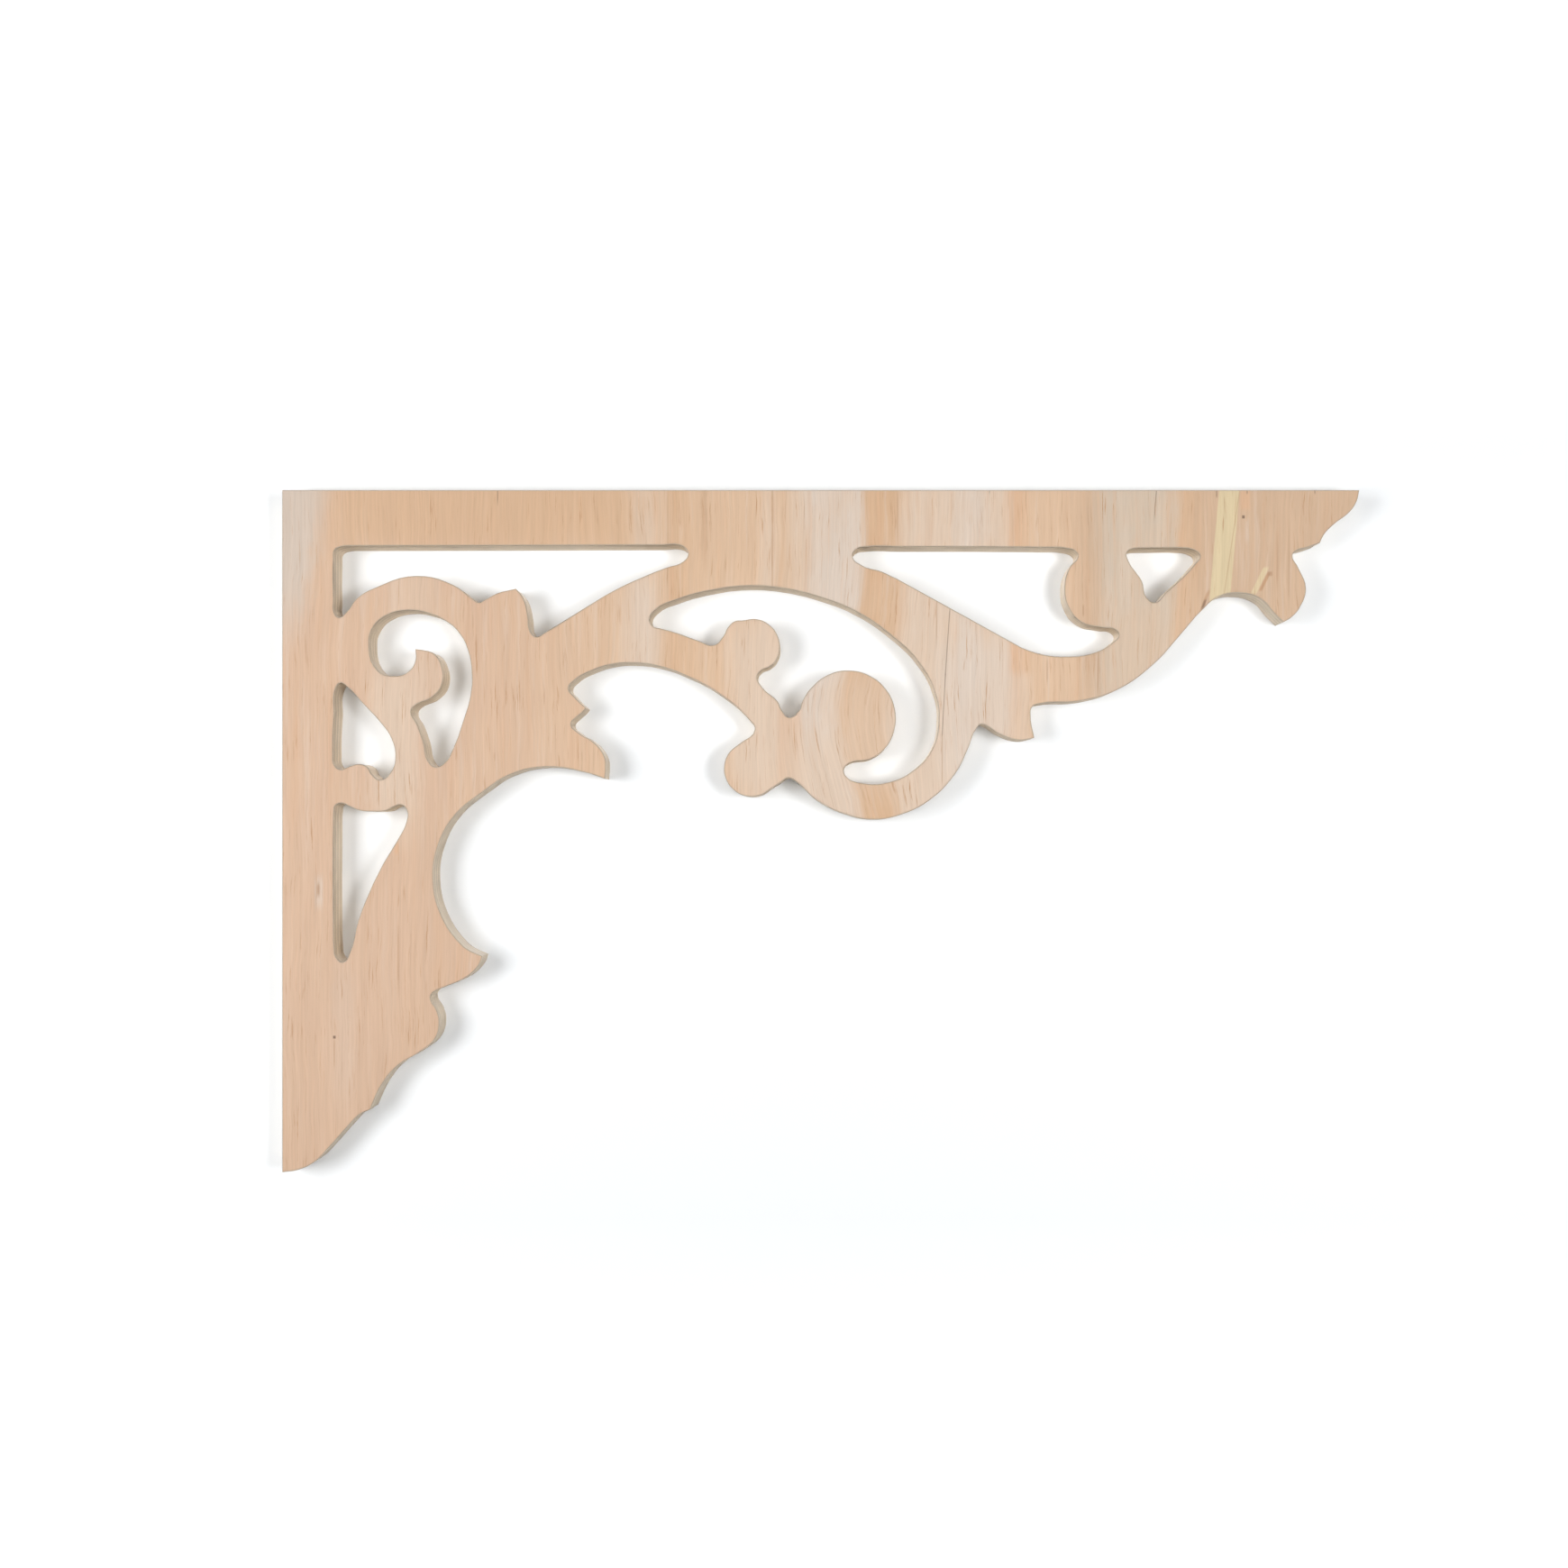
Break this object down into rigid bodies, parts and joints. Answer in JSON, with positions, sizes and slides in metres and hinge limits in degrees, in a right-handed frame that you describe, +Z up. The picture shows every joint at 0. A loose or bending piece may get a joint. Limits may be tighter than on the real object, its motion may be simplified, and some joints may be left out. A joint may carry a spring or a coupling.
{
  "type": "fretwork corner bracket",
  "caption": "Flat right-angled fretwork bracket sawn from one plywood board, with scrollwork openings, fixed in the corner between a post and a beam.",
  "frame": {"origin": "middle of the straight edge that is fixed under the beam, half way through the board", "axes": "+X along the beam away from the post, +Y through the board towards its back, +Z up out of the beam edge"},
  "size_m": [0.6, 0.018, 0.38],
  "materials": {
    "pine_plywood": "bare, sanded pine plywood, unvarnished, with sawn edges"
  },
  "bodies": {
    "root": {"fretwork_bracket": "pine_plywood"}
  },
  "joints": []
}
